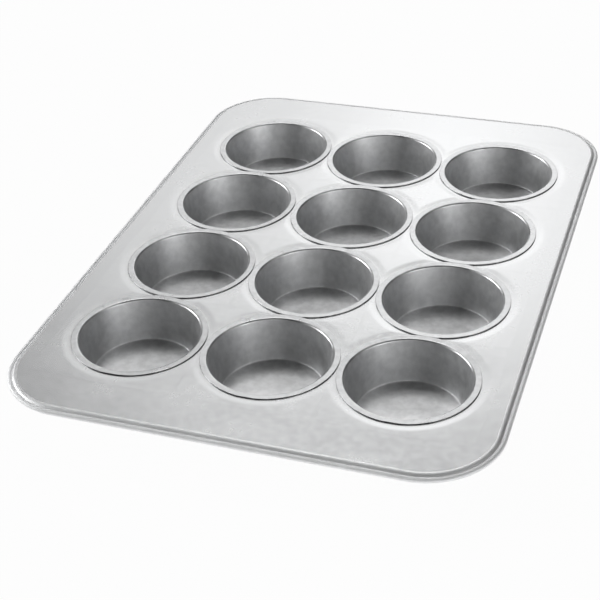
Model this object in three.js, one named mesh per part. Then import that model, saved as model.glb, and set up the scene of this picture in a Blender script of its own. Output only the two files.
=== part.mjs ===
// Jumbo muffin pan: separately drawn cups locked into one pressed frame sheet,
// whose edge is rolled over a steel wire.
// Millimetres. X runs across the pan, Y along it, Z up.
// The origin is under the middle of the pan, on the surface that it stands on.

import * as THREE from 'three';

// Layout of the cups
const rowCount = 4;
const columnCount = 3;
const lipGapAlong = 0.2;
const lipGapAcross = 0.8;
const borderAlong = 44.6;
const borderAcross = 25.2;
const cornerRadius = 50;

// Cup, drawn from one disc of sheet
const cupThickness = 0.5;
const cupDepth = 30;
const floorDiameter = 70;
const floorRounding = 1.2;
const lipDiameter = 91.8;
const lipWidth = 3.6;
const lipTrim = 0.35;
const lipRounding = 1.6;
const foldGrip = 0.8;

// Frame sheet and the wire in its rolled edge
const frameThickness = 0.5;
const dishDepth = 0.3;
const dishWidth = 4.5;
const shoulderRadius = 3;
const shoulderTurn = THREE.MathUtils.degToRad(50);
const grooveRadius = 0.6;
const grooveRise = THREE.MathUtils.degToRad(35);
const curlTurn = THREE.MathUtils.degToRad(290);
const wireDiameter = 1.6;

// Clearances between the pieces
const seatClearance = 0.3;
const holeClearance = 0.35;
const wireClearance = 0.3;

// Steps of the round forms and of the straight sides
const roundSteps = 24;
const lipSteps = 3;
const floorSteps = 1;
const cornerSteps = 7;
const shoulderSteps = 3;
const grooveSteps = 3;
const curlSteps = 12;
const wireSides = 8;
const sideStepsAcross = 2;
const sideStepsAlong = 3;

// Points closer than this are meant to be the same one
const tolerance = 1e-6;

// Directions in a half section or in plan
const up = Math.PI / 2;
const fullTurn = 2 * Math.PI;

// Layout that follows from the sizes above; each lip is trimmed where it meets the next one along the pan
const lipRadius = lipDiameter / 2;
const lipReachAlong = lipRadius - lipTrim;
const pitchAcross = lipDiameter + lipGapAcross;
const pitchAlong = 2 * lipReachAlong + lipGapAlong;
const halfWidth = (columnCount - 1) / 2 * pitchAcross + lipRadius + borderAcross;
const halfLength = (rowCount - 1) / 2 * pitchAlong + lipRadius + borderAlong;

// Heights, from the cups' floors up: the frame sheet lies between the lip and the locking fold
const lipTop = cupThickness + cupDepth;
const lipUnderside = lipTop - cupThickness;
const seatTop = lipUnderside - seatClearance;
const landTop = seatTop + dishDepth;
const foldTop = seatTop - frameThickness - seatClearance;
const foldBottom = foldTop - 2 * cupThickness;

// Points on an arc, from one angle to another
function arcPoints(centreX, centreY, radius, fromAngle, toAngle, steps) {
  const points = [];
  for (let step = 0; step <= steps; step += 1) {
    const angle = fromAngle + (toAngle - fromAngle) * step / steps;
    points.push(new THREE.Vector2(centreX + radius * Math.cos(angle), centreY + radius * Math.sin(angle)));
  }
  return points;
}

// Cup wall: it leaves the rounding under the lip and leans in to the floor's diameter
const floorRadius = floorDiameter / 2;
const lipInnerRadius = lipRadius - lipWidth;
const roundingHeight = lipTop - lipRounding;
const undersideRounding = lipRounding - cupThickness;
const wallLean = leanOfWall();

function leanOfWall() {
  const across = lipInnerRadius - floorRadius;
  const down = cupDepth - lipRounding;
  return Math.atan2(across, down) - Math.asin(lipRounding / Math.hypot(across, down));
}

function wallOutside(height) {
  const inside = floorRadius + (height - cupThickness) * Math.tan(wallLean);
  return inside + cupThickness / Math.cos(wallLean);
}

// The hole in the frame clears the rounding under the lip, and the fold reaches past the hole's edge
const roundingAtSeat = lipInnerRadius - Math.sqrt(undersideRounding ** 2 - (seatTop - roundingHeight) ** 2);
const holeRadius = roundingAtSeat + holeClearance;
const foldRadius = holeRadius + foldGrip;

// Half section of a cup: up its outside, over the lip and down its inside.
// The locking fold is two thicknesses of the wall, pinched flat under the frame sheet.
function cupProfile() {
  const wallNormal = Math.PI - wallLean;
  const cornerCentre = floorRadius - floorRounding * Math.tan((up - wallLean) / 2);
  const cornerHeight = cupThickness + floorRounding;
  const outerRounding = floorRounding + cupThickness;
  const outerCorner = arcPoints(cornerCentre, cornerHeight, outerRounding, -up, -wallLean, floorSteps);
  const innerCorner = arcPoints(cornerCentre, cornerHeight, floorRounding, -wallLean, -up, floorSteps);
  const underLip = arcPoints(lipInnerRadius, roundingHeight, undersideRounding, wallNormal, up, lipSteps);
  const overLip = arcPoints(lipInnerRadius, roundingHeight, lipRounding, up, wallNormal, lipSteps);
  return [
    new THREE.Vector2(0, 0),
    ...outerCorner,
    new THREE.Vector2(wallOutside(foldBottom), foldBottom),
    new THREE.Vector2(foldRadius, foldBottom),
    new THREE.Vector2(foldRadius, foldTop),
    new THREE.Vector2(wallOutside(foldTop), foldTop),
    ...underLip,
    new THREE.Vector2(lipRadius, lipUnderside),
    new THREE.Vector2(lipRadius, lipTop),
    ...overLip,
    ...innerCorner,
    new THREE.Vector2(0, cupThickness),
  ];
}

// Triangles of a closed body
class BodyFaces {
  constructor() {
    this.positions = [];
  }

  triangle(a, b, c) {
    const shortest = Math.min(a.distanceTo(b), b.distanceTo(c), c.distanceTo(a));
    if (shortest < tolerance) return;
    for (const corner of [a, b, c]) this.positions.push(corner.x, corner.y, corner.z);
  }

  fan(first, ...others) {
    for (let i = 1; i < others.length; i += 1) this.triangle(first, others[i - 1], others[i]);
  }

  geometry() {
    const geometry = new THREE.BufferGeometry();
    geometry.setAttribute('position', new THREE.Float32BufferAttribute(this.positions, 3));
    geometry.computeVertexNormals();
    return geometry;
  }
}

// The frame sheet is level under each lip, to halfway between the lip and the middle of the gap
// to the next one, and slopes up from there to the flat land
const seatRadius = lipRadius + lipGapAcross / 4;
const dishRadius = seatRadius + dishWidth;

function sheetTop(distance) {
  const share = THREE.MathUtils.clamp((distance - seatRadius) / dishWidth, 0, 1);
  return seatTop + dishDepth * share;
}

// A cell is the rectangle of frame sheet around one cup, with its reach from the cup's axis:
// halfway to the next cup, or past the slope on the outer sides
function makeCell(row, column) {
  const outerReach = dishRadius + lipWidth;
  return {
    x: (column - (columnCount - 1) / 2) * pitchAcross,
    y: ((rowCount - 1) / 2 - row) * pitchAlong,
    left: column === 0 ? outerReach : pitchAcross / 2,
    right: column === columnCount - 1 ? outerReach : pitchAcross / 2,
    back: row === 0 ? outerReach : pitchAlong / 2,
    front: row === rowCount - 1 ? outerReach : pitchAlong / 2,
  };
}

function makeCells() {
  const cells = [];
  for (let row = 0; row < rowCount; row += 1) {
    for (let column = 0; column < columnCount; column += 1) cells.push(makeCell(row, column));
  }
  return cells;
}

function cellPoint(cell, across, along, drop) {
  const height = sheetTop(Math.hypot(across, along)) - drop;
  return new THREE.Vector3(cell.x + across, cell.y + along, height);
}

// Points of a cell on one ray from the cup's axis, and whether the ray ends at its left or right side
function cellRay(cell, index, drop) {
  const angle = fullTurn * index / roundSteps;
  const across = Math.cos(angle);
  const along = Math.sin(angle);
  const sideReach = (across > 0 ? cell.right : cell.left) / Math.abs(across);
  const endReach = (along > 0 ? cell.back : cell.front) / Math.abs(along);
  const reach = Math.min(sideReach, endReach);
  const at = (distance) => cellPoint(cell, across * distance, along * distance, drop);
  return {
    meetsSide: sideReach < endReach,
    hole: at(holeRadius),
    seat: at(Math.min(seatRadius, reach)),
    dish: at(Math.min(dishRadius, reach)),
    edge: at(reach),
  };
}

function cellRays(cell, drop) {
  return Array.from({ length: roundSteps }, (_, index) => cellRay(cell, index, drop));
}

// The cell's corner that lies after a ray
function cellCorner(cell, index, drop) {
  const angle = fullTurn * (index + 0.5) / roundSteps;
  const across = Math.cos(angle) > 0 ? cell.right : -cell.left;
  const along = Math.sin(angle) > 0 ? cell.back : -cell.front;
  return cellPoint(cell, across, along, drop);
}

// Edge of a cell from one ray to the next, with the corner if there is one between them
function cellEdge(cell, rays, index, drop) {
  const here = rays[index];
  const next = rays[(index + 1) % roundSteps];
  if (here.meetsSide === next.meetsSide) return [here.edge, next.edge];
  return [here.edge, cellCorner(cell, index, drop), next.edge];
}

// Outline of all the cells together, around the pan
function blockOutline(cells, drop) {
  const points = [];
  for (const cell of cells) {
    const rays = cellRays(cell, drop);
    rays.forEach((ray, index) => points.push(...cellEdge(cell, rays, index, drop).slice(0, -1)));
  }
  const right = Math.max(...points.map((point) => point.x));
  const back = Math.max(...points.map((point) => point.y));
  const touches = (value, limit) => Math.abs(value) > limit - tolerance;
  return points.filter((point) => touches(point.x, right) || touches(point.y, back));
}

// The rolled edge turns down from the land over a shoulder, up again in a groove, and then round the wire
const curlRadius = wireDiameter / 2 + wireClearance + frameThickness;
const shoulderEnd = up - shoulderTurn;
const curlStart = up + grooveRise;
const shoulderHeight = landTop - shoulderRadius;
const grooveOut = (shoulderRadius + grooveRadius) * Math.cos(shoulderEnd);
const grooveHeight = shoulderHeight + (shoulderRadius + grooveRadius) * Math.sin(shoulderEnd);
const curlOut = grooveOut - (grooveRadius + curlRadius) * Math.cos(curlStart);
const curlHeight = grooveHeight - (grooveRadius + curlRadius) * Math.sin(curlStart);
const rimWidth = curlOut + curlRadius;

// Stations along the edge of the land, each with its way out of the pan
function cornerStations(quarter) {
  const middle = (quarter + 0.5) * up;
  const centreX = Math.sign(Math.cos(middle)) * (halfWidth - cornerRadius);
  const centreY = Math.sign(Math.sin(middle)) * (halfLength - cornerRadius);
  const ways = arcPoints(0, 0, 1, quarter * up, (quarter + 1) * up, cornerSteps);
  return ways.map((way) => ({
    way,
    place: new THREE.Vector2(centreX, centreY).addScaledVector(way, cornerRadius - rimWidth),
  }));
}

function edgeStations() {
  const stations = [];
  for (let quarter = 0; quarter < 4; quarter += 1) {
    stations.push(...cornerStations(quarter));
    const from = stations.at(-1);
    const to = cornerStations((quarter + 1) % 4)[0];
    const steps = quarter % 2 === 0 ? sideStepsAcross : sideStepsAlong;
    for (let step = 1; step < steps; step += 1) {
      stations.push({ way: from.way, place: from.place.clone().lerp(to.place, step / steps) });
    }
  }
  return stations;
}

function stationPoint(station, out, height) {
  const place = station.place.clone().addScaledVector(station.way, out);
  return new THREE.Vector3(place.x, place.y, height);
}

// Section of the rolled edge, out along the upper face of the sheet and back along its inner face
function rimSection() {
  const grooveStart = shoulderEnd + Math.PI;
  const grooveEnd = curlStart + Math.PI;
  const curlEnd = curlStart - curlTurn;
  const face = (depth) => {
    const shoulder = arcPoints(0, shoulderHeight, shoulderRadius - depth, up, shoulderEnd, shoulderSteps);
    const grooveFace = grooveRadius + depth;
    const groove = arcPoints(grooveOut, grooveHeight, grooveFace, grooveStart, grooveEnd, grooveSteps);
    const curl = arcPoints(curlOut, curlHeight, curlRadius - depth, curlStart, curlEnd, curlSteps);
    return [...shoulder, ...groove.slice(1), ...curl.slice(1)];
  };
  return [...face(0), ...face(frameThickness).reverse()];
}

function addSweep(faces, stations, section) {
  stations.forEach((here, i) => {
    const next = stations[(i + 1) % stations.length];
    for (let j = 1; j < section.length; j += 1) {
      const from = section[j - 1];
      const to = section[j];
      faces.fan(
        stationPoint(here, from.x, from.y),
        stationPoint(here, to.x, to.y),
        stationPoint(next, to.x, to.y),
        stationPoint(next, from.x, from.y),
      );
    }
  });
}

// Flat border between two outlines around the pan, walked together by their bearing
function addBorder(add, inner, outer) {
  const bearing = (point) => Math.atan2(point.y, point.x);
  const around = (points) => [...points].sort((a, b) => bearing(a) - bearing(b));
  const loops = [around(inner), around(outer)];
  const walked = [0, 0];
  const point = (side, ahead) => loops[side][(walked[side] + ahead) % loops[side].length];
  const nextBearing = (side) => {
    const left = loops[side].length - walked[side];
    if (left === 0) return Infinity;
    return bearing(point(side, 1)) + (left === 1 ? fullTurn : 0);
  };
  while (walked[0] < loops[0].length || walked[1] < loops[1].length) {
    const side = nextBearing(0) < nextBearing(1) ? 0 : 1;
    add(point(0, 0), point(1, 0), point(side, 1));
    walked[side] += 1;
  }
}

// One face of the frame sheet inside its rolled edge; turned over, it makes the underside
function addSheetFace(faces, cells, stations, drop) {
  const add = (...corners) => faces.fan(...(drop > 0 ? corners.reverse() : corners));
  for (const cell of cells) {
    const rays = cellRays(cell, drop);
    rays.forEach((here, index) => {
      const next = rays[(index + 1) % roundSteps];
      add(here.hole, here.seat, next.seat, next.hole);
      add(here.seat, here.dish, next.dish, next.seat);
      add(here.dish, ...cellEdge(cell, rays, index, drop), next.dish);
    });
  }
  const landEdge = stations.map((station) => stationPoint(station, 0, landTop - drop));
  addBorder(add, blockOutline(cells, drop), landEdge);
}

function addHoleEdge(faces, cell) {
  const top = cellRays(cell, 0);
  const under = cellRays(cell, frameThickness);
  top.forEach((ray, index) => {
    const next = (index + 1) % roundSteps;
    faces.fan(ray.hole, top[next].hole, under[next].hole, under[index].hole);
  });
}

function makeFrame(cells, stations) {
  const faces = new BodyFaces();
  addSheetFace(faces, cells, stations, 0);
  addSheetFace(faces, cells, stations, frameThickness);
  for (const cell of cells) addHoleEdge(faces, cell);
  addSweep(faces, stations, rimSection());
  return faces.geometry();
}

function makeWire(stations) {
  const faces = new BodyFaces();
  addSweep(faces, stations, arcPoints(curlOut, curlHeight, wireDiameter / 2, up, up - fullTurn, wireSides));
  return faces.geometry();
}

// A cup is turned from its half section, and its lip is then trimmed along the pan
function makeCup() {
  const cup = new THREE.LatheGeometry(cupProfile(), roundSteps).rotateX(up);
  const points = cup.getAttribute('position');
  for (let i = 0; i < points.count; i += 1) {
    points.setY(i, THREE.MathUtils.clamp(points.getY(i), -lipReachAlong, lipReachAlong));
  }
  return cup;
}

// Satin aluminised steel for the sheets, plain drawn steel for the wire
const cupMetal = new THREE.MeshStandardMaterial({ color: 0xc2c4c5, roughness: 0.34, metalness: 1 });
const frameMetal = new THREE.MeshStandardMaterial({ color: 0xcdcfd0, roughness: 0.3, metalness: 1 });
const wireMetal = new THREE.MeshStandardMaterial({ color: 0x9a9c9e, roughness: 0.45, metalness: 1 });

function makePiece(name, geometry, material) {
  const piece = new THREE.Mesh(geometry, material);
  piece.name = name;
  return piece;
}

function makePan() {
  const pan = new THREE.Group();
  const cells = makeCells();
  const stations = edgeStations();
  const cupShape = makeCup();
  pan.add(makePiece('frame_sheet', makeFrame(cells, stations), frameMetal));
  pan.add(makePiece('rim_wire', makeWire(stations), wireMetal));
  cells.forEach((cell, index) => {
    const row = Math.floor(index / columnCount) + 1;
    const column = index % columnCount + 1;
    const cup = makePiece(`cup_row${row}_col${column}`, cupShape, cupMetal);
    cup.position.set(cell.x, cell.y, 0);
    pan.add(cup);
  });
  return pan;
}

export default makePan();
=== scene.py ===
"""Jumbo muffin pan in satin aluminised steel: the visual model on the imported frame.

Metres, in the frame's own axes: X across the pan, Y along it, Z up.
"""

import math

import bmesh
import bpy
from mathutils import Matrix, Vector


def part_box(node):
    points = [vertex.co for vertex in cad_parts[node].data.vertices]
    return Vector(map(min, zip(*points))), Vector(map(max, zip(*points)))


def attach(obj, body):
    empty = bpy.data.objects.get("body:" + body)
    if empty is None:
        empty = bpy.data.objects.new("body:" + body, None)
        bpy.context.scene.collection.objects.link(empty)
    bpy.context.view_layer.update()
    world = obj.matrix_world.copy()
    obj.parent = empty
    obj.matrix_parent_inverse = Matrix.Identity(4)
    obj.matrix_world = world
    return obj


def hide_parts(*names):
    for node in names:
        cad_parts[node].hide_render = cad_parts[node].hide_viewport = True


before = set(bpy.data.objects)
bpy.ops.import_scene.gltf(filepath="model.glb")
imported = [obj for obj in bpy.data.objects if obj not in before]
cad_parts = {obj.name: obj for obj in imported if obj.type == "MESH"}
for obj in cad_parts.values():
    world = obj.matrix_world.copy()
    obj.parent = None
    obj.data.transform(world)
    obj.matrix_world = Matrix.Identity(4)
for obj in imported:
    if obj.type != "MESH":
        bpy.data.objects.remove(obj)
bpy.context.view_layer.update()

MM = 0.001
QUARTER = math.pi / 2
TURN = 2 * math.pi
CORNERS = 4

# Cups: their places, the lip and the height come from the frame's boxes
cup_names = sorted(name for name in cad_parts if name.startswith("cup_"))
cup_places = {name: sum(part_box(name), Vector()) / 2 for name in cup_names}
cup_low, cup_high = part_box(cup_names[0])
lip_radius = (cup_high.x - cup_low.x) / 2
lip_reach_along = (cup_high.y - cup_low.y) / 2
lip_top = cup_high.z
lip_width = 3.6 * MM
lip_rounding = 1.6 * MM
lip_edge_rounding = 0.15 * MM
lip_fall = 0.12 * MM
floor_radius = 35 * MM
floor_rounding = 1.2 * MM
fold_grip = 0.8 * MM

# Frame sheet, with its thickness first, and the wire in its rolled edge: the outline comes from the
# frame's box
sheet = 0.5 * MM
half_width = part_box("frame_sheet")[1].x
half_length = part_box("frame_sheet")[1].y
corner_radius = 50 * MM
dish_depth = 0.3 * MM
dish_width = 6.5 * MM
shoulder_radius = 3 * MM
shoulder_turn = math.radians(50)
groove_radius = 0.6 * MM
groove_rise = math.radians(35)
curl_turn = math.radians(290)
wire_radius = 0.8 * MM

# Clearances between the pieces
seat_clearance = 0.3 * MM
hole_clearance = 0.35 * MM
wire_clearance = 0.3 * MM
seat_margin = 0.2 * MM

# Divisions of the round forms
ROUND_STEPS = 96
LIP_STEPS = 10
FLOOR_STEPS = 6
EDGE_STEPS = 3
FOLD_STEPS = 8
DISH_STEPS = 8
CORNER_STEPS = 28
SIDE_STEPS = 12
SHOULDER_STEPS = 10
GROOVE_STEPS = 10
CURL_STEPS = 44
WIRE_STEPS = 24

# Rings this close to the ends of a straight stretch over the held length keep its shading straight
HOLD = 0.3 * MM
HELD_LENGTH = 3 * HOLD

# Points that lie this close together are one, and edges that turn this far are sharp
WELD = 0.001 * MM
SHARP = math.radians(50)

# Cups whose places agree to this many digits of a metre share a row or a column
PLACE_DIGITS = 6

# Heights, from the cups' floors up: the sheet lies between the lip and the locking fold
seat_top = lip_top - sheet - seat_clearance
land_top = seat_top + dish_depth
fold_top = seat_top - sheet - seat_clearance
fold_bottom = fold_top - 2 * sheet
rounding_height = lip_top - lip_rounding
lip_inner = lip_radius - lip_width


def arc(centre_x, centre_y, radius, start, end, steps):
    """Points on an arc from one angle to another."""
    angles = [start + (end - start) * step / steps for step in range(steps + 1)]
    return [(centre_x + radius * math.cos(a), centre_y + radius * math.sin(a)) for a in angles]


def between(start, end, share):
    return tuple(a + (b - a) * share for a, b in zip(start, end))


def with_holds(points):
    """The points of a section, with one more close to each end of a long straight stretch."""
    held = [points[0]]
    for start, end in zip(points, points[1:]):
        length = math.dist(start, end)
        if length > HELD_LENGTH:
            held.append(between(start, end, HOLD / length))
            held.append(between(end, start, HOLD / length))
        held.append(end)
    return held


def lean_of_wall():
    """Lean of a wall from upright, from the edge of the floor to where it meets the lip's rounding."""
    across = lip_inner - floor_radius
    down = rounding_height - sheet
    return math.atan2(across, down) - math.asin(lip_rounding / math.hypot(across, down))


wall_lean = lean_of_wall()


def wall_outside(height):
    """Radius of the outer face of a wall at a height."""
    inside = floor_radius + (height - sheet) * math.tan(wall_lean)
    return inside + sheet / math.cos(wall_lean)


def hole_in_sheet():
    """Radius of a hole in the sheet, clear of the outside of the lip's rounding."""
    rounding = lip_rounding - sheet
    rounding_reach = math.sqrt(rounding**2 - (seat_top - rounding_height) ** 2)
    return lip_inner - rounding_reach + hole_clearance


hole_radius = hole_in_sheet()
fold_radius = hole_radius + fold_grip


def cup_profile():
    """Half section of a cup as radius and height: up its outside, over the lip and down its inside."""
    wall_normal = math.pi - wall_lean
    corner = floor_radius - floor_rounding * math.tan((QUARTER - wall_lean) / 2)
    corner_height = sheet + floor_rounding
    edge = lip_radius - lip_edge_rounding
    under_edge = lip_top - sheet + lip_edge_rounding
    over_edge = lip_top - lip_edge_rounding
    lip_end = QUARTER + math.atan2(lip_fall, lip_width)
    return with_holds(
        [
            (0, 0),
            *arc(corner, corner_height, floor_rounding + sheet, -QUARTER, -wall_lean, FLOOR_STEPS),
            (wall_outside(fold_bottom), fold_bottom),
            *arc(fold_radius - sheet, fold_bottom + sheet, sheet, -QUARTER, QUARTER, FOLD_STEPS),
            (wall_outside(fold_top), fold_top),
            *arc(lip_inner, rounding_height, lip_rounding - sheet, wall_normal, QUARTER, LIP_STEPS),
            *arc(edge, under_edge, lip_edge_rounding, -QUARTER, 0, EDGE_STEPS),
            *arc(edge, over_edge, lip_edge_rounding, 0, QUARTER, EDGE_STEPS),
            *arc(lip_inner, rounding_height - lip_fall, lip_rounding, lip_end, wall_normal, LIP_STEPS),
            *arc(corner, corner_height, floor_rounding, -wall_lean, -QUARTER, FLOOR_STEPS),
            (0, sheet),
        ]
    )


class Body:
    """Faces of one closed body, whose coinciding points are welded at the end."""

    def __init__(self):
        self.work = bmesh.new()

    def face(self, *corners):
        self.work.faces.new([self.work.verts.new(corner) for corner in corners])

    def piece(self, name, slot, node):
        """The finished piece, which rides on the pan and takes the place of a node of the frame."""
        bmesh.ops.remove_doubles(self.work, verts=self.work.verts, dist=WELD)
        bmesh.ops.recalc_face_normals(self.work, faces=self.work.faces)
        mesh = bpy.data.meshes.new(name)
        self.work.to_mesh(mesh)
        self.work.free()
        mesh.shade_smooth()
        mesh.set_sharp_from_angle(angle=SHARP)
        piece = bpy.data.objects.new(name, mesh)
        bpy.context.scene.collection.objects.link(piece)
        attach(piece, "root")
        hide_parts(node)
        return piece


def make_cup(node):
    """A cup, turned round its axis, with its lip trimmed where it meets the next ones along the pan."""
    place = cup_places[node]
    body = Body()
    profile = cup_profile()
    angles = [TURN * step / ROUND_STEPS for step in range(ROUND_STEPS + 1)]

    def point(half, angle):
        radius, height = half
        along = min(max(radius * math.sin(angle), -lip_reach_along), lip_reach_along)
        return (place.x + radius * math.cos(angle), place.y + along, height)

    for here, ahead in zip(angles, angles[1:]):
        for low, high in zip(profile, profile[1:]):
            body.face(point(low, here), point(low, ahead), point(high, ahead), point(high, here))
    return body.piece("pan_" + node, "cup_metal", node)


# The sheet is level under each lip and rises from there to the flat land, of which the cells of the outer
# cups take in a little
seat_radius = lip_radius + seat_margin
dish_radius = seat_radius + dish_width
cell_margin = 3.6 * MM
columns = sorted({round(place.x, PLACE_DIGITS) for place in cup_places.values()})
rows = sorted({round(place.y, PLACE_DIGITS) for place in cup_places.values()})


def smooth(share):
    """A share that eases in and out, kept between zero and one."""
    share = min(max(share, 0), 1)
    return share * share * (3 - 2 * share)


def sheet_point(x, y, drop):
    """A point on the sheet, where the hollows round neighbouring cups run into each other."""
    share = 1
    for place in cup_places.values():
        share *= smooth((math.hypot(x - place.x, y - place.y) - seat_radius) / dish_width)
    return (x, y, seat_top + dish_depth * share - drop)


class Cell:
    """The rectangle of sheet around one cup, as its reach to each side from the cup's axis."""

    def __init__(self, place):
        self.x = place.x
        self.y = place.y
        outer = dish_radius + cell_margin
        half_across = (columns[1] - columns[0]) / 2
        half_along = (rows[1] - rows[0]) / 2
        self.left = outer if math.isclose(place.x, columns[0], abs_tol=WELD) else half_across
        self.right = outer if math.isclose(place.x, columns[-1], abs_tol=WELD) else half_across
        self.front = outer if math.isclose(place.y, rows[0], abs_tol=WELD) else half_along
        self.back = outer if math.isclose(place.y, rows[-1], abs_tol=WELD) else half_along

    def ray(self, index, drop):
        """Points on a ray from the cup's axis, and whether it ends on the left or right side."""
        angle = TURN * (index + 0.5) / ROUND_STEPS
        across = math.cos(angle)
        along = math.sin(angle)
        side_reach = (self.right if across > 0 else self.left) / abs(across)
        end_reach = (self.back if along > 0 else self.front) / abs(along)
        reach = min(side_reach, end_reach)
        slope = [seat_radius + dish_width * step / DISH_STEPS for step in range(DISH_STEPS + 1)]
        distances = [min(distance, reach) for distance in (hole_radius, *slope, reach)]
        points = [sheet_point(self.x + across * d, self.y + along * d, drop) for d in distances]
        return points, side_reach < end_reach

    def corner(self, index, drop):
        """The cell's corner that lies after a ray."""
        angle = TURN * (index + 1) / ROUND_STEPS
        across = self.right if math.cos(angle) > 0 else -self.left
        along = self.back if math.sin(angle) > 0 else -self.front
        return sheet_point(self.x + across, self.y + along, drop)

    def rays(self, drop):
        return [self.ray(index, drop) for index in range(ROUND_STEPS)]

    def edge(self, index, drop):
        """The edge of the cell from one ray to the next, with the corner between them if there is one."""
        here, here_side = self.ray(index, drop)
        ahead, ahead_side = self.ray(index + 1, drop)
        corner = [] if here_side == ahead_side else [self.corner(index, drop)]
        return [here[-1], *corner, ahead[-1]]


cells = [Cell(place) for place in cup_places.values()]

# Rolled edge: down from the land over a shoulder, up again in a groove, and then round the wire
curl_radius = wire_radius + wire_clearance + sheet
shoulder_end = QUARTER - shoulder_turn
curl_start = QUARTER + groove_rise
shoulder_height = land_top - shoulder_radius
groove_out = (shoulder_radius + groove_radius) * math.cos(shoulder_end)
groove_height = shoulder_height + (shoulder_radius + groove_radius) * math.sin(shoulder_end)
curl_out = groove_out - (groove_radius + curl_radius) * math.cos(curl_start)
curl_height = groove_height - (groove_radius + curl_radius) * math.sin(curl_start)
rim_width = curl_out + curl_radius


def corner_stations(quarter):
    """Places round one corner of the land, each with its way out of the pan."""
    middle = (quarter + 0.5) * QUARTER
    centre_x = math.copysign(half_width - corner_radius, math.cos(middle))
    centre_y = math.copysign(half_length - corner_radius, math.sin(middle))
    ways = arc(0, 0, 1, quarter * QUARTER, (quarter + 1) * QUARTER, CORNER_STEPS)
    reach = corner_radius - rim_width
    return [((centre_x + reach * x, centre_y + reach * y), (x, y)) for x, y in ways]


def edge_stations():
    """Places all round the edge of the land, corners and sides, each with its way out of the pan."""
    stations = []
    for quarter in range(CORNERS):
        stations += corner_stations(quarter)
        place, way = stations[-1]
        target = corner_stations((quarter + 1) % CORNERS)[0][0]
        stations += [(between(place, target, step / SIDE_STEPS), way) for step in range(1, SIDE_STEPS)]
    return stations


stations = edge_stations()


def station_point(station, out, height):
    (x, y), (way_x, way_y) = station
    return (x + way_x * out, y + way_y * out, height)


def rim_section():
    """Section of the rolled edge: out along the upper face of the sheet and back along its inner face."""
    groove_start = shoulder_end + math.pi
    groove_end = curl_start + math.pi
    curl_end = curl_start - curl_turn

    def surface(depth):
        groove_face = groove_radius + depth
        shoulder = arc(0, shoulder_height, shoulder_radius - depth, QUARTER, shoulder_end, SHOULDER_STEPS)
        groove = arc(groove_out, groove_height, groove_face, groove_start, groove_end, GROOVE_STEPS)
        curl = arc(curl_out, curl_height, curl_radius - depth, curl_start, curl_end, CURL_STEPS)
        return [(-HOLD, land_top - depth), *shoulder, *groove[1:], *curl[1:]]

    return [*surface(0), *reversed(surface(sheet))]


def add_sweep(body, section):
    """A section, as distances out and heights, carried all round the pan."""
    for here, ahead in zip(stations, [*stations[1:], stations[0]]):
        for low, high in zip(section, section[1:]):
            body.face(
                station_point(here, *low),
                station_point(ahead, *low),
                station_point(ahead, *high),
                station_point(here, *high),
            )


def bearing(point):
    return math.atan2(point[1], point[0])


def add_border(body, inner, outer):
    """Flat faces between two loops around the pan, which are walked together by their bearing."""
    loops = [sorted(inner, key=bearing), sorted(outer, key=bearing)]
    walked = [0, 0]

    def point(side, ahead):
        return loops[side][(walked[side] + ahead) % len(loops[side])]

    def next_bearing(side):
        left = len(loops[side]) - walked[side]
        if left == 0:
            return math.inf
        return bearing(point(side, 1)) + (TURN if left == 1 else 0)

    while min(next_bearing(0), next_bearing(1)) < math.inf:
        side = 0 if next_bearing(0) < next_bearing(1) else 1
        body.face(point(0, 0), point(1, 0), point(side, 1))
        walked[side] += 1


def block_outline(drop):
    """Outline of all the cells together."""
    points = {p for cell in cells for i in range(ROUND_STEPS) for p in cell.edge(i, drop)[:-1]}
    right = max(point[0] for point in points)
    back = max(point[1] for point in points)
    return [p for p in points if abs(p[0]) > right - WELD or abs(p[1]) > back - WELD]


def add_sheet(body, drop):
    """The upper or the under face of the sheet, inside its rolled edge."""
    for cell in cells:
        rays = [points for points, _ in cell.rays(drop)]
        for index, here in enumerate(rays):
            ahead = rays[(index + 1) % ROUND_STEPS]
            for ring in range(DISH_STEPS + 1):
                body.face(here[ring], here[ring + 1], ahead[ring + 1], ahead[ring])
            body.face(here[-2], *cell.edge(index, drop), ahead[-2])
    land_edge = [station_point(station, -HOLD, land_top - drop) for station in stations]
    add_border(body, block_outline(drop), land_edge)


def add_hole_edge(body, cell):
    top = [points[0] for points, _ in cell.rays(0)]
    under = [points[0] for points, _ in cell.rays(sheet)]
    for index in range(ROUND_STEPS):
        ahead = (index + 1) % ROUND_STEPS
        body.face(top[index], top[ahead], under[ahead], under[index])


def make_frame_sheet():
    body = Body()
    add_sheet(body, 0)
    add_sheet(body, sheet)
    for cell in cells:
        add_hole_edge(body, cell)
    add_sweep(body, rim_section())
    return body.piece("pan_frame_sheet", "frame_metal", "frame_sheet")


def make_wire():
    body = Body()
    add_sweep(body, arc(curl_out, curl_height, wire_radius, QUARTER, QUARTER - TURN, WIRE_STEPS))
    return body.piece("pan_rim_wire", "wire_metal", "rim_wire")


# Places of a Mix node's colour sockets, which share their names with its other sockets
MIX_FIRST = 6
MIX_SECOND = 7
MIX_RESULT = 2
OPAQUE = 1


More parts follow.
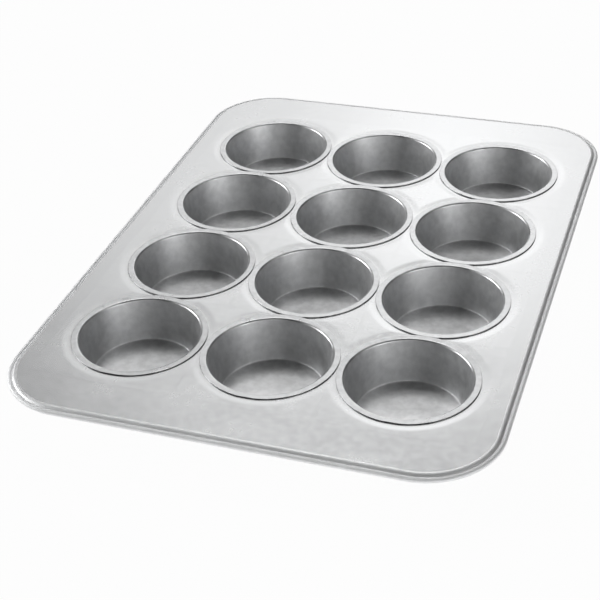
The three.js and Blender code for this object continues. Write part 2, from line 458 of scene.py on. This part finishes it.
class Nodes:
    """A node tree and short ways to add to it."""

    def __init__(self, tree):
        self.tree = tree
        tree.nodes.clear()

    def add(self, kind, **settings):
        node = self.tree.nodes.new(kind)
        for name, value in settings.items():
            setattr(node, name, value)
        return node

    def put(self, socket, value):
        """Links an input to another node's output, or sets a plain value on it."""
        if isinstance(value, bpy.types.NodeSocket):
            self.tree.links.new(value, socket)
        elif socket.type == "RGBA":
            socket.default_value = (*value, OPAQUE)
        else:
            socket.default_value = value

    def feed(self, node, **inputs):
        """Links or sets a node's inputs by their names."""
        for name, value in inputs.items():
            self.put(node.inputs[name.replace("_", " ")], value)
        return node

    def fill(self, node, values):
        """Links or sets a node's first inputs in turn."""
        for socket, value in zip(node.inputs, values):
            self.put(socket, value)
        return node

    def math(self, operation, *values):
        return self.fill(self.add("ShaderNodeMath", operation=operation), values).outputs["Value"]

    def vector(self, operation, *values):
        return self.fill(self.add("ShaderNodeVectorMath", operation=operation), values)

    def remap(self, value, low, high, to_low, to_high):
        node = self.add("ShaderNodeMapRange", interpolation_type="SMOOTHSTEP")
        self.feed(node, Value=value, From_Min=low, From_Max=high, To_Min=to_low, To_Max=to_high)
        return node.outputs["Result"]

    def noise(self, place, scale, detail, stretch=(1, 1, 1)):
        mapping = self.feed(self.add("ShaderNodeMapping"), Vector=place, Scale=stretch)
        noise = self.add("ShaderNodeTexNoise")
        self.feed(noise, Vector=mapping.outputs["Vector"], Scale=scale, Detail=detail)
        return noise.outputs["Fac"]

    def blend(self, share, first, second):
        node = self.add("ShaderNodeMix", data_type="RGBA")
        self.feed(node, Factor=share)
        self.put(node.inputs[MIX_FIRST], first)
        self.put(node.inputs[MIX_SECOND], second)
        return node.outputs[MIX_RESULT]


# Patterns in the metal: features to the metre, finer layers in each, and how far they are drawn out
CLOUDS = {"scale": 22, "detail": 4}
SPOTS = {"scale": 190, "detail": 5}
GRAIN = {"scale": 900, "detail": 3, "stretch": (1, 0.12, 1)}

# Values of a pattern from which it starts to show and at which it shows in full, which lie closer together
# for the tone of the clouds
CLOUD_TONE_RANGE = (0.35, 0.65)
PATTERN_RANGE = (0.3, 0.7)

# Meetings of finishes: half the width over which the shoulder's fades in, and what rubbing changes there
SHOULDER_FADE = 1 * MM
RUBBED_TONE = 0.3
RUBBED_ROUGHNESS = -0.2

# Fine relief of the metal
SPOT_RELIEF = 0.6
BUMP_STRENGTH = 0.05
BUMP_DISTANCE = 0.02 * MM

# Finishes of the metal, as colour and roughness; some of the colours hold painted light or shade
FLAT_SHEET = ((0.63, 0.635, 0.64), 0.24)
# The shoulder's colour is painted lighter than the flat sheet of the same metal: painted light on the
# rolled edge
SHOULDER_WITH_PAINTED_LIGHT = ((0.82, 0.825, 0.83), 0.58)
# The bead's colour is painted lighter still than the flat sheet: painted light on the rolled edge's bead
BEAD_WITH_PAINTED_LIGHT = ((0.92, 0.925, 0.93), 0.7)
DRAWN_WALL = ((0.65, 0.655, 0.66), 0.4)
# The cup floor's colour is painted lighter than the wall of the same metal: painted light falling from
# above
CUP_FLOOR_WITH_PAINTED_LIGHT = ((0.88, 0.885, 0.89), 0.35)
# The lip's colour is painted darker than the wall of the same metal: painted shade for its darker
# reflection
CUP_LIP_WITH_PAINTED_SHADE = ((0.59, 0.595, 0.6), 0.26)
DRAWN_WIRE = ((0.36, 0.36, 0.37), 0.42)


def height_of(nodes, place):
    return nodes.feed(nodes.add("ShaderNodeSeparateXYZ"), Vector=place).outputs["Z"]


def floor_share(nodes, place):
    """One on a cup's floor and zero on its wall."""
    return nodes.remap(height_of(nodes, place), sheet, sheet + floor_rounding, 1, 0)


def lip_share(nodes, place):
    """Zero on a cup's wall and one on its lip."""
    return nodes.remap(height_of(nodes, place), rounding_height, lip_top, 0, 1)


def distance_out(nodes, place):
    """Distance out past the middles of the corners' curves, which the pan's outline follows."""
    above_the_pan = 2 * lip_top
    middles = (half_width - corner_radius, half_length - corner_radius, above_the_pan)
    folded = nodes.vector("ABSOLUTE", place).outputs["Vector"]
    past = nodes.vector("SUBTRACT", folded, middles).outputs["Vector"]
    out = nodes.vector("MAXIMUM", past, (0, 0, 0)).outputs["Vector"]
    return nodes.vector("LENGTH", out).outputs["Value"]


def shoulder_share(nodes, place):
    """Zero on the land and one on the rolled edge."""
    land_edge = corner_radius - rim_width
    out = distance_out(nodes, place)
    return nodes.remap(out, land_edge - SHOULDER_FADE, land_edge + SHOULDER_FADE, 0, 1)


def bead_share(nodes, place):
    """Zero up to the groove and one on the bead outside it."""
    bead = corner_radius - 2 * curl_radius
    return nodes.remap(distance_out(nodes, place), bead, bead + curl_radius / 2, 0, 1)


def make_metal(name, finish, *others, mottle, speckle):
    """Satin sheet metal: cloudy tone, fine rolled grain, and finishes, some with painted light or shade,
    that meet in rubbed strips.

    Each of the other finishes comes with the function for its share. The mottle is how far the clouds
    change the tone, and how far clouds and spots roughen the metal. The speckle is how far the spots
    change the tone.
    """
    material = bpy.data.materials.new(name)
    material.use_nodes = True
    nodes = Nodes(material.node_tree)
    place = nodes.add("ShaderNodeTexCoord").outputs["Object"]
    clouds = nodes.noise(place, **CLOUDS)
    spots = nodes.noise(place, **SPOTS)
    grain = nodes.noise(place, **GRAIN)
    cloudy_tone = nodes.remap(clouds, *CLOUD_TONE_RANGE, 1 - mottle, 1 + mottle)
    spotted_tone = nodes.remap(spots, *PATTERN_RANGE, -speckle, speckle)
    tone = nodes.math("ADD", cloudy_tone, spotted_tone)
    full_spots = nodes.remap(spots, *PATTERN_RANGE, 0, 1)
    full_clouds = nodes.remap(clouds, *PATTERN_RANGE, 0, 1)
    uneven = nodes.math("ADD", full_spots, full_clouds)
    colour, roughness = finish
    for (other_colour, other_roughness), share_of in others:
        share = share_of(nodes, place)
        colour = nodes.blend(share, colour, other_colour)
        change = nodes.math("SUBTRACT", other_roughness, roughness)
        roughness = nodes.math("MULTIPLY_ADD", share, change, roughness)
        meeting = nodes.math("MULTIPLY", share, nodes.math("SUBTRACT", 1, share))
        rubbed = nodes.math("MULTIPLY", meeting, spots)
        tone = nodes.math("MULTIPLY_ADD", rubbed, RUBBED_TONE, tone)
        roughness = nodes.math("MULTIPLY_ADD", rubbed, RUBBED_ROUGHNESS, roughness)
    toned = nodes.vector("SCALE", colour)
    nodes.feed(toned, Scale=tone)
    roughness = nodes.math("MULTIPLY_ADD", uneven, mottle, roughness)
    relief = nodes.math("MULTIPLY_ADD", spots, SPOT_RELIEF, grain)
    bump = nodes.add("ShaderNodeBump")
    nodes.feed(bump, Strength=BUMP_STRENGTH, Distance=BUMP_DISTANCE, Height=relief)
    shader = nodes.add("ShaderNodeBsdfPrincipled")
    nodes.feed(
        shader,
        Base_Color=toned.outputs["Vector"],
        Metallic=1,
        Roughness=roughness,
        Normal=bump.outputs["Normal"],
    )
    nodes.feed(nodes.add("ShaderNodeOutputMaterial"), Surface=shader.outputs["BSDF"])
    return material


# Floor: its reach in metres, how far it lies below the cups, its colour, and the share that shows white
FLOOR_REACH = 20
FLOOR_DROP = 0.1 * MM
FLOOR_GREY = (0.8, 0.8, 0.8)
FLOOR_WHITE = 0.97


def make_floor():
    """A wide pale floor, which shows white to the camera and in the metal and keeps a soft shadow."""
    mesh = bpy.data.meshes.new("floor")
    near = [(-FLOOR_REACH, -FLOOR_REACH), (FLOOR_REACH, -FLOOR_REACH)]
    far = [(FLOOR_REACH, FLOOR_REACH), (-FLOOR_REACH, FLOOR_REACH)]
    mesh.from_pydata([(x, y, -FLOOR_DROP) for x, y in near + far], [], [(0, 1, 2, 3)])
    material = bpy.data.materials.new("floor_white")
    material.use_nodes = True
    nodes = Nodes(material.node_tree)
    rays = nodes.add("ShaderNodeLightPath").outputs
    seen = nodes.math("MAXIMUM", rays["Is Camera Ray"], rays["Is Glossy Ray"])
    seen = nodes.math("MAXIMUM", seen, rays["Is Transmission Ray"])
    share = nodes.math("MULTIPLY", seen, FLOOR_WHITE)
    matt = nodes.feed(nodes.add("ShaderNodeBsdfDiffuse"), Color=FLOOR_GREY).outputs["BSDF"]
    white = nodes.feed(nodes.add("ShaderNodeEmission"), Strength=1.0).outputs["Emission"]
    mixed = nodes.fill(nodes.add("ShaderNodeMixShader"), (share, matt, white))
    nodes.feed(nodes.add("ShaderNodeOutputMaterial"), Surface=mixed.outputs["Shader"])
    mesh.materials.append(material)
    floor = bpy.data.objects.new("floor", mesh)
    bpy.context.scene.collection.objects.link(floor)


# Soft panels of light round the pan: heading from +Y towards +X, elevation, inner and outer spread
# in degrees, and strength
ROOM_LIGHT = 0.02
PANELS = (
    (-10, 3, 6, 20, 1.3),
    (-22, 29, 1, 14, 1.3),
    (-4, 30, 2, 15, 1.45),
    (-24, 57, 5, 12, 4.6),
    (-90, 20, 8, 23, 6.0),
    (120, 8, 8, 20, 3.5),
    (-120, 34, 6, 14, 1.0),
    (-48, 38, 8, 20, 0.35),
    (160, 4, 15, 40, 0.8),
    (90, 33, 8, 20, 0.8),
    (30, 70, 10, 28, 0.35),
)


def direction(heading, elevation):
    """The way out to a panel, from its heading and elevation in degrees."""
    heading = math.radians(heading)
    elevation = math.radians(elevation)
    level = math.cos(elevation)
    return Vector((math.sin(heading) * level, math.cos(heading) * level, math.sin(elevation)))


def make_light():
    world = bpy.data.worlds.new("studio")
    world.use_nodes = True
    bpy.context.scene.world = world
    nodes = Nodes(world.node_tree)
    toward = nodes.add("ShaderNodeTexCoord").outputs["Generated"]
    total = ROOM_LIGHT
    for heading, elevation, inner, outer, strength in PANELS:
        facing = nodes.vector("DOT_PRODUCT", toward, direction(heading, elevation))
        edge = math.cos(math.radians(outer))
        core = math.cos(math.radians(inner))
        panel = nodes.remap(facing.outputs["Value"], edge, core, 0, strength)
        total = nodes.math("ADD", panel, total)
    light = nodes.feed(nodes.add("ShaderNodeBackground"), Color=total, Strength=1.0)
    nodes.feed(nodes.add("ShaderNodeOutputWorld"), Surface=light.outputs["Background"])


# Camera: round the pan from its near side, tilted a little, looking at a point on the lips' level,
# with its lens and sensor in millimetres
CAMERA_AZIMUTH = math.radians(20.409)
CAMERA_ELEVATION = math.radians(34.142)
CAMERA_ROLL = math.radians(-3.248)
CAMERA_DISTANCE = 931.4 * MM
CAMERA_TARGET = Vector((-1.29 * MM, -72.2 * MM, lip_top))
CAMERA_LENS = 81.54
CAMERA_SENSOR = 36


def make_camera():
    level = math.cos(CAMERA_ELEVATION)
    away = Vector(
        (
            math.sin(CAMERA_AZIMUTH) * level,
            -math.cos(CAMERA_AZIMUTH) * level,
            math.sin(CAMERA_ELEVATION),
        )
    )
    across = Vector((math.cos(CAMERA_AZIMUTH), math.sin(CAMERA_AZIMUTH), 0))
    above = away.cross(across)
    right = across * math.cos(CAMERA_ROLL) + above * math.sin(CAMERA_ROLL)
    up = above * math.cos(CAMERA_ROLL) - across * math.sin(CAMERA_ROLL)
    data = bpy.data.cameras.new("camera")
    data.lens = CAMERA_LENS
    data.sensor_width = CAMERA_SENSOR
    data.dof.use_dof = False
    camera = bpy.data.objects.new("camera", data)
    turned = Matrix((right, up, away)).transposed().to_4x4()
    camera.matrix_world = Matrix.Translation(CAMERA_TARGET + away * CAMERA_DISTANCE) @ turned
    bpy.context.scene.collection.objects.link(camera)
    bpy.context.scene.camera = camera


frame_metal = make_metal(
    "frame_metal_satin",
    FLAT_SHEET,
    # The shoulder's lighter colour is painted light on the rolled edge
    (SHOULDER_WITH_PAINTED_LIGHT, shoulder_share),
    # The bead's lighter colour is painted light on the rolled edge
    (BEAD_WITH_PAINTED_LIGHT, bead_share),
    mottle=0.02,
    speckle=0.02,
)
cup_metal = make_metal(
    "cup_metal_satin",
    DRAWN_WALL,
    # The cup floor's lighter colour is painted light
    (CUP_FLOOR_WITH_PAINTED_LIGHT, floor_share),
    # The lip's darker colour is painted shade
    (CUP_LIP_WITH_PAINTED_SHADE, lip_share),
    mottle=0.04,
    speckle=0.08,
)
wire_metal = make_metal("wire_metal_drawn", DRAWN_WIRE, mottle=0.05, speckle=0.05)
make_frame_sheet().data.materials.append(frame_metal)
make_wire().data.materials.append(wire_metal)
for cup_name in cup_names:
    make_cup(cup_name).data.materials.append(cup_metal)
make_floor()
make_light()
make_camera()
bpy.context.scene.view_settings.view_transform = "Standard"

bpy.context.view_layer.update()
